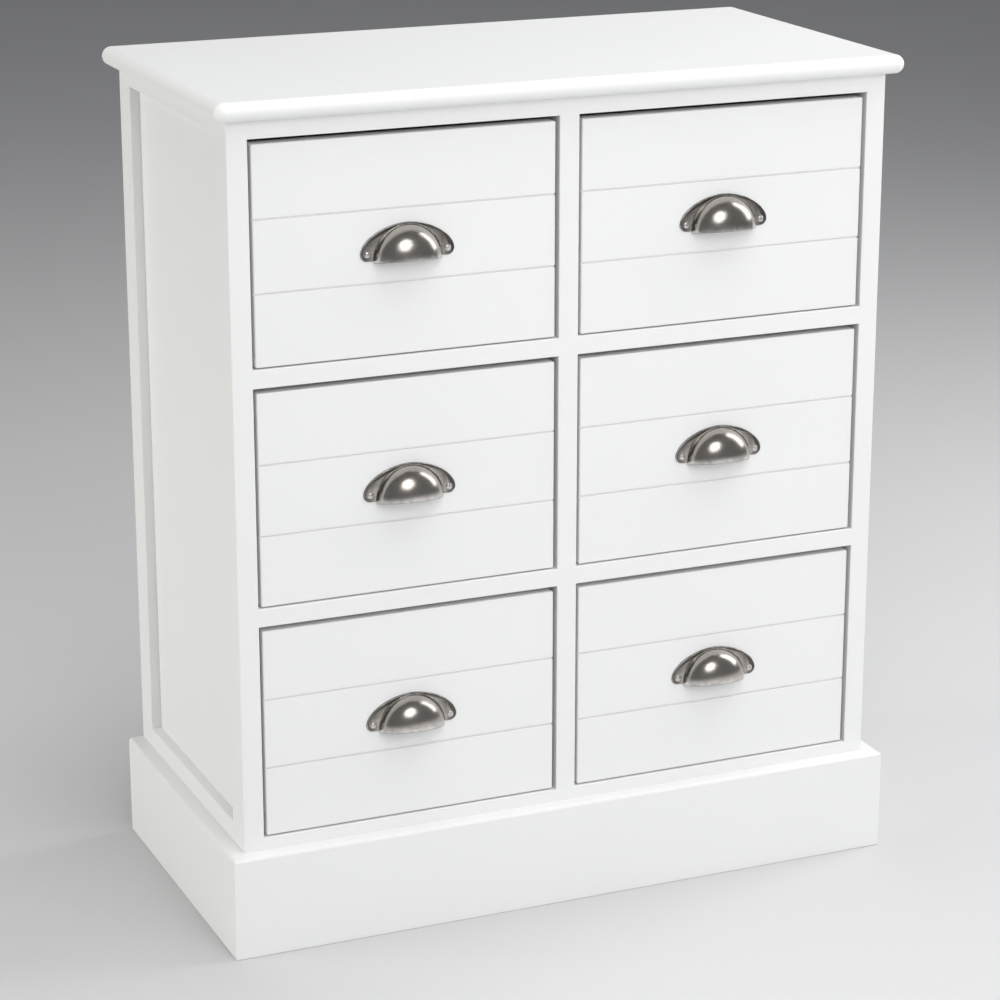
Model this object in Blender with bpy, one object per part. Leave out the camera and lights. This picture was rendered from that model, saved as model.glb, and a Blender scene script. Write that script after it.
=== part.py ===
"""Chest of six drawers with a bull-nosed top, panelled sides, a mitred plinth and cup pulls.

Metres, +Z up. The chest faces -Y. The origin is on the floor, at the middle of the
chest's width and of its depth, cup pulls included.
"""

import math

import bmesh
import bpy
from mathutils import Matrix, Vector

# Case
CASE_WIDTH = 0.600
CASE_DEPTH = 0.295
SIDE_THICKNESS = 0.018
PARTITION_THICKNESS = 0.018
SHELF_THICKNESS = 0.016
OPENING_HEIGHT = 0.190
ROWS = ("lower", "middle", "upper")
COLUMNS = ("left", "right")

# Top board
TOP_THICKNESS = 0.016
TOP_SIDE_OVERHANG = 0.0125
TOP_FRONT_OVERHANG = 0.015
TOP_BACK_OVERHANG = 0.008
TOP_NOSE_RADIUS = 0.0074
TOP_CORNER_RADIUS = 0.008

# Plinth
PLINTH_HEIGHT = 0.092
PLINTH_THICKNESS = 0.014
PLINTH_LAP = 0.005
PLINTH_EDGE_RADIUS = 0.003

# Framed side panels
STILE_WIDTH = 0.030
SIDE_TOP_RAIL = 0.014
SIDE_BOTTOM_RAIL = 0.045
SIDE_RAIL_SHOWN = 0.018
PANEL_THICKNESS = 0.006
PANEL_RECESS = 0.009
PANEL_TONGUE = 0.006

# Back
BACK_THICKNESS = 0.004
BACK_INSET = 0.002

# Drawers
FRONT_THICKNESS = 0.015
FRONT_RECESS = 0.0015
FRONT_SIDE_GAP = 0.003
FRONT_TOP_GAP = 0.0045
FRONT_BOTTOM_GAP = 0.001
PLANKS = 3
V_GROOVE_WIDTH = 0.003
V_GROOVE_DEPTH = 0.002
BOX_SIDE_THICKNESS = 0.010
BOX_SIDE_HEIGHT = 0.145
BOX_SIDE_CLEARANCE = 0.0015
BOX_BACK_CLEARANCE = 0.001
BOTTOM_THICKNESS = 0.004
BOTTOM_RISE = 0.010
BOTTOM_TONGUE = 0.005

# Cup pull
PULL_WIDTH = 0.083
PULL_HEIGHT = 0.0325
PULL_DROP = 0.0138
PULL_FLANGE = 0.0015
PULL_END_RADIUS = 0.006
PULL_END_LIFT = 0.002
PULL_ARCH_FULLNESS = 1.8
DOME_WIDTH = 0.060
DOME_HEIGHT = 0.0305
DOME_REACH = 0.021
DOME_WALL = 0.0013
LIP_RISE = 0.0035
SCREW_HOLE_RADIUS = 0.0019

# Clearances and mesh fineness
GAP = 0.0003
GROOVE_CLEARANCE = 0.0003
GROOVE_END_CLEARANCE = 0.001
ARC_STEPS = 6
FLANGE_STEPS = 8
DOME_SEGMENTS = 28
DOME_RINGS = 14
HOLE_SIDES = 12
WELD_DISTANCE = 0.00001

# Places that follow from the sizes above
PULL_REACH = DOME_REACH - FRONT_RECESS
CASE_FRONT = (PULL_REACH - CASE_DEPTH - TOP_BACK_OVERHANG) / 2
CASE_BACK = CASE_FRONT + CASE_DEPTH
TOP_BACK = CASE_BACK + TOP_BACK_OVERHANG
INNER_HALF = CASE_WIDTH / 2 - SIDE_THICKNESS
PARTITION_HALF = PARTITION_THICKNESS / 2
OPENING_WIDTH = INNER_HALF - PARTITION_HALF
FLOOR_BOARD_UNDERSIDE = PLINTH_HEIGHT - PLINTH_LAP
ROW_PITCH = OPENING_HEIGHT + SHELF_THICKNESS
FIRST_OPENING = FLOOR_BOARD_UNDERSIDE + SHELF_THICKNESS
CASE_TOP = FIRST_OPENING + len(ROWS) * ROW_PITCH
BACK_FACE = CASE_BACK - BACK_INSET - BACK_THICKNESS
FRONT_FACE = CASE_FRONT + FRONT_RECESS

FINISHES = {
    "white_lacquer": ((0.86, 0.86, 0.85, 1.0), 0.35, 0.0),
    "drawer_wood": ((0.72, 0.56, 0.38, 1.0), 0.60, 0.0),
    "hardboard": ((0.38, 0.25, 0.15, 1.0), 0.75, 0.0),
    "satin_nickel": ((0.60, 0.57, 0.54, 1.0), 0.28, 1.0),
}


def clear_scene():
    """Remove every object that the start-up scene holds."""
    for obj in list(bpy.data.objects):
        bpy.data.objects.remove(obj, do_unlink=True)


def new_collection(name):
    """Add a collection to the scene."""
    collection = bpy.data.collections.new(name)
    bpy.context.scene.collection.children.link(collection)
    return collection


def new_material(name, finish):
    """Make one piece's own Principled material."""
    colour, roughness, metallic = FINISHES[finish]
    material = bpy.data.materials.new(name)
    material.use_nodes = True
    shader = material.node_tree.nodes["Principled BSDF"]
    shader.inputs["Base Color"].default_value = colour
    shader.inputs["Roughness"].default_value = roughness
    shader.inputs["Metallic"].default_value = metallic
    material.diffuse_color = colour
    return material


def add_piece(name, mesh, finish, location, parent=None):
    """Add a named piece; its location is relative to its parent's."""
    mesh.name = name
    obj = bpy.data.objects.new(name, mesh)
    obj.location = location
    obj.parent = parent
    obj.data.materials.append(new_material(name, finish))
    PARTS.objects.link(obj)
    return obj


def add_cutter(name, mesh, location, parent=None):
    """Add a shape that only cuts other pieces."""
    obj = bpy.data.objects.new(name, mesh)
    obj.location = location
    obj.parent = parent
    obj.hide_render = True
    obj.display_type = "WIRE"
    CUTTERS.objects.link(obj)
    return obj


def cut(obj, cutter, operation="DIFFERENCE"):
    """Cut one object with another, or join them, and leave the cutter in place."""
    modifier = obj.modifiers.new(cutter.name, "BOOLEAN")
    modifier.object = cutter
    modifier.operation = operation


def box_mesh(name, size):
    """Mesh of a box about its own centre."""
    shape = bmesh.new()
    bmesh.ops.create_cube(shape, size=1.0, matrix=Matrix.Diagonal((*size, 1.0)))
    return finished_mesh(name, shape)


def finished_mesh(name, shape):
    """Turn a bmesh into a mesh with its faces pointing out."""
    bmesh.ops.recalc_face_normals(shape, faces=shape.faces)
    mesh = bpy.data.meshes.new(name)
    shape.to_mesh(mesh)
    shape.free()
    return mesh


def board(name, low, high, finish="white_lacquer", parent=None):
    """Add a square-edged board between two opposite corners, in its parent's place."""
    low, high = Vector(low), Vector(high)
    return add_piece(name, box_mesh(name, high - low), finish, (low + high) / 2, parent)


def box_cutter(name, low, high, parent=None):
    """Add a box-shaped cutter between two opposite corners."""
    low, high = Vector(low), Vector(high)
    return add_cutter(name, box_mesh(name, high - low), (low + high) / 2, parent)


def evaluated_mesh(obj):
    """Mesh of an object with its modifiers applied; the object is then removed."""
    bpy.context.scene.collection.objects.link(obj)
    graph = bpy.context.evaluated_depsgraph_get()
    mesh = bpy.data.meshes.new_from_object(obj.evaluated_get(graph))
    bpy.data.objects.remove(obj, do_unlink=True)
    return mesh


def extruded_shape(name, outline, thickness):
    """Bmesh of a flat outline in XY, as thick to each side of the plane, with its caps welded."""
    curve = bpy.data.curves.new(name, "CURVE")
    curve.dimensions = "2D"
    curve.fill_mode = "BOTH"
    curve.extrude = thickness / 2
    spline = curve.splines.new("POLY")
    spline.points.add(len(outline) - 1)
    for point, (x, y) in zip(spline.points, outline):
        point.co = (x, y, 0.0, 1.0)
    spline.use_cyclic_u = True
    mesh = evaluated_mesh(bpy.data.objects.new(name, curve))
    bpy.data.curves.remove(curve)
    shape = bmesh.new()
    shape.from_mesh(mesh)
    bpy.data.meshes.remove(mesh)
    bmesh.ops.remove_doubles(shape, verts=shape.verts, dist=WELD_DISTANCE)
    bmesh.ops.dissolve_limit(
        shape, angle_limit=math.radians(0.5), verts=shape.verts, edges=shape.edges
    )
    return shape


def arc(centre, radius, start, end, steps=ARC_STEPS):
    """Points along an arc, angles in degrees."""
    angles = [math.radians(start + (end - start) * i / steps) for i in range(steps + 1)]
    return [(centre[0] + radius * math.cos(a), centre[1] + radius * math.sin(a)) for a in angles]


def bevel_edges(shape, edges, radius, steps):
    """Round the given edges of a bmesh."""
    bmesh.ops.bevel(
        shape, geom=edges, offset=radius, segments=steps, profile=0.5, affect="EDGES"
    )


def add_top():
    """Top board: small plan radius at its front corners, half-round nose on three edges."""
    half = CASE_WIDTH / 2 + TOP_SIDE_OVERHANG
    front = CASE_FRONT - TOP_FRONT_OVERHANG
    inset = TOP_CORNER_RADIUS
    left_corner = arc((-half + inset, front + inset), inset, 180, 270, ARC_STEPS // 2)
    right_corner = arc((half - inset, front + inset), inset, 270, 360, ARC_STEPS // 2)
    outline = left_corner + right_corner + [(half, TOP_BACK), (-half, TOP_BACK)]
    shape = extruded_shape("top_board", outline, TOP_THICKNESS)

    def on_nose(edge):
        """True for an edge round a face of the board, away from the wall side."""
        a, b = (v.co for v in edge.verts)
        level = abs(a.z - b.z) < WELD_DISTANCE
        return level and min(a.y, b.y) < TOP_BACK - WELD_DISTANCE

    nose = [edge for edge in shape.edges if on_nose(edge)]
    bevel_edges(shape, nose, TOP_NOSE_RADIUS, ARC_STEPS)
    mesh = finished_mesh("top_board", shape)
    middle = CASE_TOP + TOP_THICKNESS / 2 + GAP
    add_piece("top_board", mesh, "white_lacquer", (0.0, 0.0, middle))


def add_side(side, sign):
    """One framed side: two stiles, two rails and a panel whose tongues sit in their grooves."""
    outer = CASE_WIDTH / 2
    panel_top = CASE_TOP - SIDE_TOP_RAIL
    panel_bottom = PLINTH_HEIGHT + SIDE_RAIL_SHOWN
    stile_back = CASE_FRONT + STILE_WIDTH
    rear_stile_front = CASE_BACK - STILE_WIDTH

    def across(low_y, low_z, high_y, high_z, near=0.0, far=SIDE_THICKNESS):
        """Corners of a piece of this side, its depth counted in from the outer face."""
        xs = sorted((sign * (outer - near), sign * (outer - far)))
        return (xs[0], low_y, low_z), (xs[1], high_y, high_z)

    frame = [
        board(f"{side}_front_stile", *across(CASE_FRONT, 0.0, stile_back, CASE_TOP)),
        board(f"{side}_back_stile", *across(rear_stile_front, 0.0, CASE_BACK, CASE_TOP)),
        board(
            f"{side}_top_rail",
            *across(stile_back + GAP, panel_top, rear_stile_front - GAP, CASE_TOP),
        ),
        board(
            f"{side}_bottom_rail",
            *across(
                stile_back + GAP,
                panel_bottom - SIDE_BOTTOM_RAIL,
                rear_stile_front - GAP,
                panel_bottom,
            ),
        ),
    ]
    tongue = PANEL_TONGUE
    board(
        f"{side}_panel",
        *across(
            stile_back - tongue,
            panel_bottom - tongue,
            rear_stile_front + tongue,
            panel_top + tongue,
            PANEL_RECESS,
            PANEL_RECESS + PANEL_THICKNESS,
        ),
    )
    reach = tongue + GROOVE_END_CLEARANCE
    groove = box_cutter(
        f"{side}_panel_groove",
        *across(
            stile_back - reach,
            panel_bottom - reach,
            rear_stile_front + reach,
            panel_top + reach,
            PANEL_RECESS - GROOVE_CLEARANCE,
            PANEL_RECESS + PANEL_THICKNESS + GROOVE_CLEARANCE,
        ),
    )
    for member in frame:
        cut(member, groove)


def add_case():
    """Boards inside the two sides: floor board, shelves, partition, sub-top and back."""
    inner = INNER_HALF - GAP
    rear = BACK_FACE - GAP
    floor_top = FIRST_OPENING
    sub_top = CASE_TOP - SHELF_THICKNESS
    board(
        "floor_board", (-inner, CASE_FRONT, FLOOR_BOARD_UNDERSIDE), (inner, rear, floor_top)
    )
    board("sub_top", (-inner, CASE_FRONT, sub_top), (inner, rear, CASE_TOP))
    board(
        "centre_partition",
        (-PARTITION_HALF, CASE_FRONT, floor_top + GAP),
        (PARTITION_HALF, rear, sub_top - GAP),
    )
    for row in range(1, len(ROWS)):
        under = FIRST_OPENING + row * ROW_PITCH - SHELF_THICKNESS
        for column, sign in zip(COLUMNS, (-1, 1)):
            xs = sorted((sign * (PARTITION_HALF + GAP), sign * inner))
            board(
                f"{ROWS[row]}_{column}_shelf",
                (xs[0], CASE_FRONT, under),
                (xs[1], rear, under + SHELF_THICKNESS),
            )
    board(
        "back_panel",
        (-inner, BACK_FACE, FLOOR_BOARD_UNDERSIDE),
        (inner, BACK_FACE + BACK_THICKNESS, CASE_TOP),
        "hardboard",
    )


def plinth_board(name, outline):
    """Upright board from a plan outline, its outer top edge rounded."""
    shape = extruded_shape(name, outline, PLINTH_HEIGHT)
    top = PLINTH_HEIGHT / 2 - WELD_DISTANCE
    face_x = CASE_WIDTH / 2 + PLINTH_THICKNESS - WELD_DISTANCE
    face_y = CASE_FRONT - PLINTH_THICKNESS + WELD_DISTANCE

    def on_outer_top(edge):
        """True for a top edge that lies along the board's outer face."""
        a, b = (v.co for v in edge.verts)
        if min(a.z, b.z) < top:
            return False
        return max(a.y, b.y) < face_y or min(abs(a.x), abs(b.x)) > face_x

    edges = [edge for edge in shape.edges if on_outer_top(edge)]
    bevel_edges(shape, edges, PLINTH_EDGE_RADIUS, ARC_STEPS // 2)
    add_piece(name, finished_mesh(name, shape), "white_lacquer", (0.0, 0.0, PLINTH_HEIGHT / 2))


def add_plinth():
    """Mitred boards round the front and the sides, and a plain rear board between the stiles."""
    inner = CASE_WIDTH / 2 + GAP
    outer = CASE_WIDTH / 2 + PLINTH_THICKNESS
    near = CASE_FRONT - GAP
    far = CASE_FRONT - PLINTH_THICKNESS
    plinth_board("plinth_front", [(-outer, far), (outer, far), (inner, near), (-inner, near)])
    slip = GAP * math.sqrt(2.0)
    for side, sign in zip(COLUMNS, (-1, 1)):
        outline = [(outer, far + slip), (outer, CASE_BACK), (inner, CASE_BACK), (inner, near + slip)]
        plinth_board(f"plinth_{side}", [(sign * x, y) for x, y in outline])
    board(
        "plinth_back",
        (-INNER_HALF + GAP, CASE_BACK - PLINTH_THICKNESS, 0.0),
        (INNER_HALF - GAP, CASE_BACK, FLOOR_BOARD_UNDERSIDE - GAP),
    )


def front_outline(height):
    """Section of a drawer front: x runs back from its face, y runs up from its lower edge."""
    plank = height / PLANKS
    points = [(0.0, 0.0)]
    for joint in range(1, PLANKS):
        middle = joint * plank
        points += [
            (0.0, middle - V_GROOVE_WIDTH / 2),
            (V_GROOVE_DEPTH, middle),
            (0.0, middle + V_GROOVE_WIDTH / 2),
        ]
    return points + [(0.0, height), (FRONT_THICKNESS, height), (FRONT_THICKNESS, 0.0)]


def pull_outline():
    """Flange of the cup pull: an arch over two round ends, flat below."""
    half = PULL_WIDTH / 2
    end = PULL_END_RADIUS
    level = PULL_END_LIFT + end
    rise = PULL_HEIGHT - level
    power = 2 / PULL_ARCH_FULLNESS
    right_arch = [
        (half * math.cos(a) ** power, level + rise * math.sin(a) ** power)
        for a in (math.pi / 2 * i / FLANGE_STEPS for i in range(FLANGE_STEPS))
    ]
    left_arch = [(-x, z) for x, z in reversed(right_arch)]
    left_end = arc((-half + end, level), end, 180, 270, ARC_STEPS // 2)[1:]
    right_end = arc((half - end, level), end, 270, 360, ARC_STEPS // 2)[:-1]
    return right_arch + [(0.0, PULL_HEIGHT)] + left_arch + left_end + right_end


def half_ellipsoid(name, radii, cut_planes):
    """Ellipsoid about the origin, cut flat by planes through it and closed there.

    What lies against a plane's normal is cut away.
    """
    shape = bmesh.new()
    bmesh.ops.create_uvsphere(
        shape, u_segments=DOME_SEGMENTS, v_segments=DOME_RINGS, radius=1.0,
        matrix=Matrix.Diagonal((*radii, 1.0)),
    )
    for normal in cut_planes:
        geometry = shape.verts[:] + shape.edges[:] + shape.faces[:]
        result = bmesh.ops.bisect_plane(
            shape, geom=geometry, dist=WELD_DISTANCE, plane_co=(0.0, 0.0, 0.0),
            plane_no=normal, clear_inner=True,
        )
        rim = [item for item in result["geom_cut"] if isinstance(item, bmesh.types.BMEdge)]
        bmesh.ops.holes_fill(shape, edges=rim)
    return finished_mesh(name, shape)


def pull_mesh():
    """Cup pull about the middle of its lower edge, its back on the plane Y = 0."""
    plate = extruded_shape("pull_flange", pull_outline(), PULL_FLANGE)
    upright = Matrix.Translation((0.0, -PULL_FLANGE / 2, 0.0)) @ Matrix.Rotation(
        math.radians(90), 4, "X"
    )
    bmesh.ops.transform(plate, matrix=upright, verts=plate.verts)
    pull = bpy.data.objects.new("pull", finished_mesh("pull_flange", plate))

    outer = (DOME_WIDTH / 2, DOME_REACH, DOME_HEIGHT)
    inner = tuple(radius - DOME_WALL for radius in outer)
    planes = ((0.0, -1.0, 0.0), (0.0, LIP_RISE, DOME_REACH))
    dome = add_cutter("dome_outer", half_ellipsoid("dome_outer", outer, planes), (0, 0, 0))
    cup = add_cutter("dome_inner", half_ellipsoid("dome_inner", inner, ()), (0, 0, 0))
    cut(pull, dome, "UNION")
    cut(pull, cup)
    for side, sign in zip(COLUMNS, (-1, 1)):
        shape = bmesh.new()
        bmesh.ops.create_cone(
            shape, cap_ends=True, segments=HOLE_SIDES, radius1=SCREW_HOLE_RADIUS,
            radius2=SCREW_HOLE_RADIUS, depth=4 * PULL_FLANGE,
            matrix=Matrix.Rotation(math.radians(90), 4, "X"),
        )
        place = (
            sign * (PULL_WIDTH / 2 - PULL_END_RADIUS),
            -PULL_FLANGE / 2,
            PULL_END_LIFT + PULL_END_RADIUS,
        )
        name = f"{side}_screw_hole"
        cut(pull, add_cutter(name, finished_mesh(name, shape), place))
    return evaluated_mesh(pull)


def add_drawer(row, column, sign, pull):
    """One drawer on its own empty, which stands on the slide's axis at the drawer's face."""
    name = f"{ROWS[row]}_{column}"
    slide = bpy.data.objects.new(f"{name}_slide", None)
    middle = sign * (PARTITION_HALF + OPENING_WIDTH / 2)
    slide.location = (middle, FRONT_FACE, FIRST_OPENING + row * ROW_PITCH)
    PARTS.objects.link(slide)

    front_width = OPENING_WIDTH - 2 * FRONT_SIDE_GAP
    front_height = OPENING_HEIGHT - FRONT_TOP_GAP - FRONT_BOTTOM_GAP
    shape = extruded_shape(f"{name}_front", front_outline(front_height), front_width)
    front = add_piece(
        f"{name}_front", finished_mesh(f"{name}_front", shape), "white_lacquer",
        (0.0, 0.0, FRONT_BOTTOM_GAP), slide,
    )
    front.rotation_euler = (math.radians(90), 0.0, math.radians(90))

    outer = OPENING_WIDTH / 2 - BOX_SIDE_CLEARANCE
    inner = outer - BOX_SIDE_THICKNESS
    start = FRONT_THICKNESS + GAP
    end = BACK_FACE - FRONT_FACE - BOX_BACK_CLEARANCE
    grooved = [front]
    for side, turn in zip(COLUMNS, (-1, 1)):
        xs = sorted((turn * inner, turn * outer))
        grooved.append(
            board(
                f"{name}_{side}_side", (xs[0], start, GAP), (xs[1], end, BOX_SIDE_HEIGHT),
                "drawer_wood", slide,
            )
        )
    low = BOTTOM_RISE
    high = BOTTOM_RISE + BOTTOM_THICKNESS
    tongue = BOTTOM_TONGUE
    board(
        f"{name}_bottom", (-inner - tongue, FRONT_THICKNESS - tongue, low),
        (inner + tongue, end, high), "drawer_wood", slide,
    )
    board(
        f"{name}_back", (-inner + GAP, end - BOX_SIDE_THICKNESS, high + GAP),
        (inner - GAP, end, BOX_SIDE_HEIGHT), "drawer_wood", slide,
    )
    reach = tongue + GROOVE_END_CLEARANCE
    groove = box_cutter(
        f"{name}_bottom_groove",
        (-inner - reach, FRONT_THICKNESS - reach, low - GROOVE_CLEARANCE),
        (inner + reach, end + reach, high + GROOVE_CLEARANCE),
        slide,
    )
    for piece in grooved:
        cut(piece, groove)

    pull_base = FRONT_BOTTOM_GAP + front_height / 2 - PULL_DROP
    add_piece(f"{name}_pull", pull.copy(), "satin_nickel", (0.0, -GAP, pull_base), slide)


clear_scene()
PARTS = new_collection("chest_of_drawers")
CUTTERS = new_collection("cutters")
add_top()
for side_name, side_sign in zip(COLUMNS, (-1, 1)):
    add_side(side_name, side_sign)
add_case()
add_plinth()
PULL = pull_mesh()
PULL.shade_smooth()
PULL.set_sharp_from_angle(angle=math.radians(35))
for row_index in range(len(ROWS)):
    for column_name, column_sign in zip(COLUMNS, (-1, 1)):
        add_drawer(row_index, column_name, column_sign, PULL)
bpy.data.meshes.remove(PULL)
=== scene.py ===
"""Finished look of the chest of six drawers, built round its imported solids.

Each board is made again with eased edges, each drawer front with its planks and grooves, and
each cup pull as a pressed shell with a bead, a flange and two screws. Every finish is
procedural. Sizes and places come from the frame, in metres, +Z up, the chest facing -Y.
"""

import logging
import math
from collections.abc import Callable, Sequence
from dataclasses import dataclass, field
from enum import Enum

import bmesh
import bpy
import numpy as np
from mathutils import Matrix, Vector


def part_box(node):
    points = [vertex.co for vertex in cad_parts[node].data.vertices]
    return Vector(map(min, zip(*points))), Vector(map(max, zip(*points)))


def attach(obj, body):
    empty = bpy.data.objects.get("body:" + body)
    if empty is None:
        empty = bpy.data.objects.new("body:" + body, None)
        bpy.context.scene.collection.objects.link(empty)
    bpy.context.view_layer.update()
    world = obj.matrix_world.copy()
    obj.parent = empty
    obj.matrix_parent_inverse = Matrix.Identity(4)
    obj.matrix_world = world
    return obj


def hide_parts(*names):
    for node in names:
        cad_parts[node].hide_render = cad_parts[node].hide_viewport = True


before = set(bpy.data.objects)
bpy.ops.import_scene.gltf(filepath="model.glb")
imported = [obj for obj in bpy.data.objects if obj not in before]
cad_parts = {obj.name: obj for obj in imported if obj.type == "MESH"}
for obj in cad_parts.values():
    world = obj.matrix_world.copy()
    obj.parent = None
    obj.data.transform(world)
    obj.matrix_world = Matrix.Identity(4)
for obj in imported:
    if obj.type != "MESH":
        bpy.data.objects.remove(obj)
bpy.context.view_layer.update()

LOG = logging.getLogger("chest")

CASE = "case"
ROWS = ("lower", "middle", "upper")
COLUMNS = ("left", "right")
MERGE = 1e-7            # points nearer than this are one
STRAIGHT = 1e-6         # turns smaller than this, in radians, have no corner
EASE_STEPS = 4          # facets of an eased end

Pair = tuple[float, float]
Triple = tuple[float, float, float]
Mesh = bpy.types.Mesh
Node = bpy.types.Node
Socket = bpy.types.NodeSocket


# ---------------------------------------------------------------- shapes


class Axis(Enum):
    """Direction that a board runs in; its section lies in the next two axes, in turn."""

    X = 0
    Y = 1
    Z = 2


class Face(Enum):
    """Side of a rectangular section, in the order that its outline runs."""

    LOW_V = 0
    HIGH_U = 1
    HIGH_V = 2
    LOW_U = 3


@dataclass(frozen=True)
class Corner:
    """One corner of a section, and the radius that it is eased to."""

    u: float
    v: float
    radius: float = 0.0


@dataclass(frozen=True)
class Notch:
    """A groove in one face of a section: its corners as (place along the face, depth)."""

    face: Face
    points: tuple[Pair, ...]
    radius: float = 0.0


@dataclass(frozen=True)
class Section:
    """A closed section through its corners, counter-clockwise, each with its own radius."""

    corners: tuple[Corner, ...]
    steps: int = 5

    @classmethod
    def box(
        cls,
        low: Pair,
        high: Pair,
        radii: Sequence[float],
        notches: Sequence[Notch] = (),
    ) -> "Section":
        """Rectangular section with eased corners and grooves.

        Args:
            low: lowest u and v.
            high: highest u and v.
            radii: easing at (low u, low v), (high u, low v), (high u, high v), (low u, high v).
            notches: the grooves cut in its faces.

        Returns:
            The section.
        """
        ends = (low, (high[0], low[1]), high, (low[0], high[1]))
        corners: list[Corner] = []
        for face, (u, v), radius in zip(Face, ends, radii):
            corners.append(Corner(u, v, radius))
            cuts = sorted((n for n in notches if n.face is face), key=lambda n: n.points[0])
            run = [(place, depth, n.radius) for n in cuts for place, depth in n.points]
            if face in (Face.HIGH_V, Face.LOW_U):
                run.reverse()
            for place, depth, ease in run:
                spot = {
                    Face.LOW_V: (place, low[1] + depth),
                    Face.HIGH_U: (high[0] - depth, place),
                    Face.HIGH_V: (place, high[1] - depth),
                    Face.LOW_U: (low[0] + depth, place),
                }[face]
                corners.append(Corner(*spot, ease))
        return cls(tuple(corners))

    def ring(self, inset: float = 0.0) -> tuple[np.ndarray, np.ndarray]:
        """Points of the section drawn in by a distance, and how worn each one is.

        Args:
            inset: how far the section is drawn in, its hollow corners growing by as much.

        Returns:
            The points, as many whatever the inset, and the wear at each.
        """
        places = np.array([(c.u, c.v) for c in self.corners])
        along = np.roll(places, -1, axis=0) - places
        along /= np.linalg.norm(along, axis=1, keepdims=True)
        points: list[np.ndarray] = []
        wear: list[float] = []
        for i, corner in enumerate(self.corners):
            before, after = along[i - 1], along[i]
            out_before = np.array([before[1], -before[0]])
            out_after = np.array([after[1], -after[0]])
            share = 1 + out_before @ out_after
            here = places[i] - inset * (out_before + out_after) / share
            turn = math.atan2(before[0] * after[1] - before[1] * after[0], before @ after)
            if corner.radius <= 0 or abs(turn) < STRAIGHT:
                points.append(here)
                wear.append(0.0)
                continue
            radius = max(corner.radius - math.copysign(inset, turn), 0.0)
            reach = radius * math.tan(abs(turn) / 2)
            side = math.copysign(radius, turn)
            centre = here - before * reach - out_before * side
            pieces = max(2, round(self.steps * abs(turn) / (math.pi / 2)))
            for k in range(pieces + 1):
                angle = turn * k / pieces
                spin = np.array(
                    [
                        out_before[0] * math.cos(angle) - out_before[1] * math.sin(angle),
                        out_before[0] * math.sin(angle) + out_before[1] * math.cos(angle),
                    ]
                )
                points.append(centre + spin * side)
                wear.append(math.sin(math.pi * k / pieces) if turn > 0 else 0.0)
        return np.array(points), np.array(wear)


def closed_mesh(name: str, shape: bmesh.types.BMesh) -> Mesh:
    """Mesh of a bmesh with its doubles merged and its faces pointing out."""
    bmesh.ops.remove_doubles(shape, verts=shape.verts, dist=MERGE)
    bmesh.ops.dissolve_degenerate(shape, dist=MERGE, edges=shape.edges)
    bmesh.ops.recalc_face_normals(shape, faces=shape.faces)
    mesh = bpy.data.meshes.new(name)
    shape.to_mesh(mesh)
    shape.free()
    return mesh


def loft(
    name: str, rings: Sequence[np.ndarray], wears: Sequence[np.ndarray], mirror: bool = False
) -> Mesh:
    """Closed mesh through a row of rings of matching points, both ends capped.

    Args:
        name: the mesh's name.
        rings: each ring's points, all of one length.
        wears: how worn each point is, kept as a point attribute.
        mirror: turns the shape over in X.

    Returns:
        The mesh.
    """
    shape = bmesh.new()
    layer = shape.verts.layers.float.new("wear")
    flip = np.array([-1.0 if mirror else 1.0, 1.0, 1.0])
    rows = []
    for ring, wear in zip(rings, wears):
        row = []
        for point, value in zip(ring * flip, wear):
            vert = shape.verts.new(point)
            vert[layer] = float(value)
            row.append(vert)
        rows.append(row)
    count = len(rows[0])
    for row, following in zip(rows, rows[1:]):
        for i in range(count):
            j = (i + 1) % count
            shape.faces.new((row[i], row[j], following[j], following[i]))
    shape.faces.new(list(reversed(rows[0])))
    shape.faces.new(rows[-1])
    return closed_mesh(name, shape)


def applied(holder: bpy.types.Object) -> Mesh:
    """Mesh of an object with its modifiers applied; the object is removed."""
    bpy.context.scene.collection.objects.link(holder)
    graph = bpy.context.evaluated_depsgraph_get()
    mesh = bpy.data.meshes.new_from_object(holder.evaluated_get(graph))
    bpy.data.objects.remove(holder, do_unlink=True)
    return mesh


def shaded(mesh: Mesh, sharp: float = 50.0) -> Mesh:
    """Mesh smoothed over its eased edges while its broad faces stay flat.

    Args:
        mesh: the mesh.
        sharp: edges steeper than this many degrees stay sharp.

    Returns:
        The new mesh.
    """
    mesh.shade_smooth()
    mesh.set_sharp_from_angle(angle=math.radians(sharp))
    holder = bpy.data.objects.new(mesh.name, mesh)
    holder.modifiers.new("flat_faces", "WEIGHTED_NORMAL").keep_sharp = True
    return applied(holder)


def combined(base: Mesh, steps: Sequence[tuple[str, Mesh]]) -> Mesh:
    """Mesh joined to others or cut by them, one after another.

    Args:
        base: the mesh that is built on.
        steps: pairs of a Boolean operation and the mesh that it uses.

    Returns:
        The new mesh.
    """
    holder = bpy.data.objects.new(base.name, base)
    tools = []
    for operation, mesh in steps:
        tool = bpy.data.objects.new(mesh.name, mesh)
        bpy.context.scene.collection.objects.link(tool)
        step = holder.modifiers.new(mesh.name, "BOOLEAN")
        step.operation = operation
        step.solver = "EXACT"
        step.object = tool
        tools.append(tool)
    mesh = applied(holder)
    for tool in tools:
        bpy.data.objects.remove(tool, do_unlink=True)
    return mesh


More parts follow.
